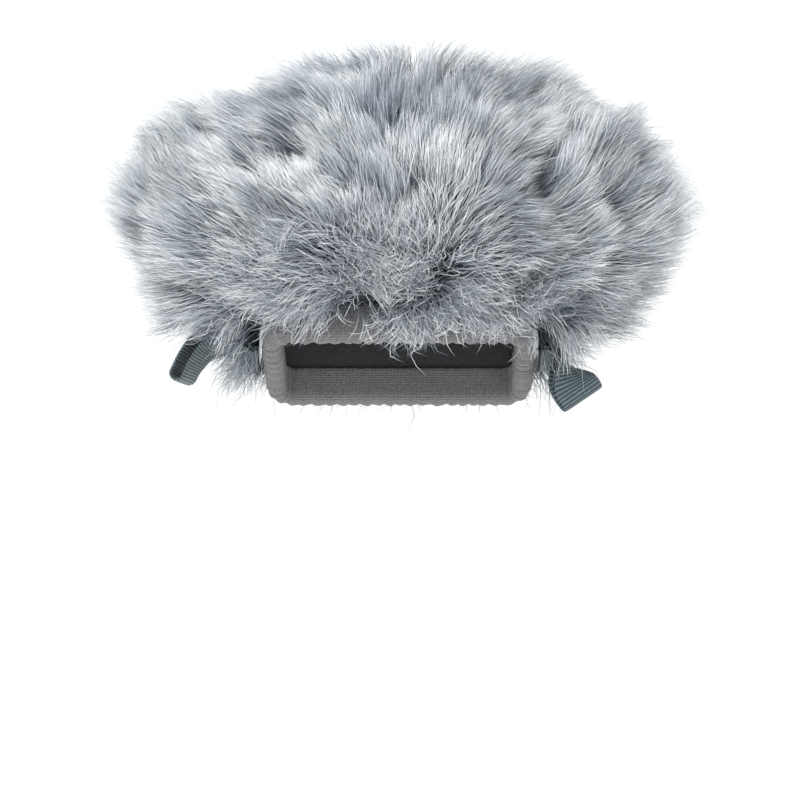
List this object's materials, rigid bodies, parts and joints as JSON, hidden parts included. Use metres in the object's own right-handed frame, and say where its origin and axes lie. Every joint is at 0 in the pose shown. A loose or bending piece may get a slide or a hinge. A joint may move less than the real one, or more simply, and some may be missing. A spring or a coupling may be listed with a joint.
{
  "type": "furry windscreen",
  "caption": "Soft fur hood that slips over the microphone end of a handheld recorder: lined fur panels sewn to an elastic hem, with folded tape loops to pull it on.",
  "frame": {"origin": "middle of the mouth, on the sloping plane of the hem's lower rim", "axes": "+Z to the crown, where the microphones sit; -Y to the recorder's display side, where the hem is higher; +X to the right seen from that side"},
  "size_m": [0.1534, 0.086, 0.0962],
  "materials": {
    "fur": "long faux fur pile, dark at the roots and pale grey at the tips",
    "foam": "open-cell polyurethane foam",
    "lining": "brushed warp-knit lining",
    "casing": "folded woven hem tape, gathered by the elastic",
    "elastic": "braided flat elastic",
    "tape": "ribbed grosgrain tape",
    "thread": "twisted polyester sewing thread"
  },
  "bodies": {
    "hood": {"fur_front_panel": "fur", "fur_back_panel": "fur", "fur_gusset_left": "fur", "fur_gusset_right": "fur", "foam_front": "foam", "foam_back": "foam", "foam_gusset": "foam", "lining_front": "lining", "lining_back": "lining", "lining_gusset": "lining", "seam_thread_front": "thread", "seam_thread_back": "thread", "crown_seam_thread": "thread", "lining_seam_thread_front": "thread", "lining_seam_thread_back": "thread", "hem_casing": "casing", "elastic_band": "elastic", "elastic_join_bartack": "thread", "hem_stitching": "thread", "tab_bartack_left": "thread", "tab_bartack_right": "thread"},
    "tab_left": {"pull_tab_left": "tape"},
    "tab_right": {"pull_tab_right": "tape"}
  },
  "joints": [
    {"name": "pull_tab_left_swing", "type": "hinge", "parent": "hood", "child": "tab_left", "pos_m": [-0.03735, 0, 0.004], "axis": [0, 0.8944, -0.4472], "range_deg": [-60, 10], "stiffness_Nm_per_rad": 0.002},
    {"name": "pull_tab_right_swing", "type": "hinge", "parent": "hood", "child": "tab_right", "pos_m": [0.03735, 0, 0.004], "axis": [0, -0.8944, 0.4472], "range_deg": [-35, 10], "stiffness_Nm_per_rad": 0.002}
  ]
}
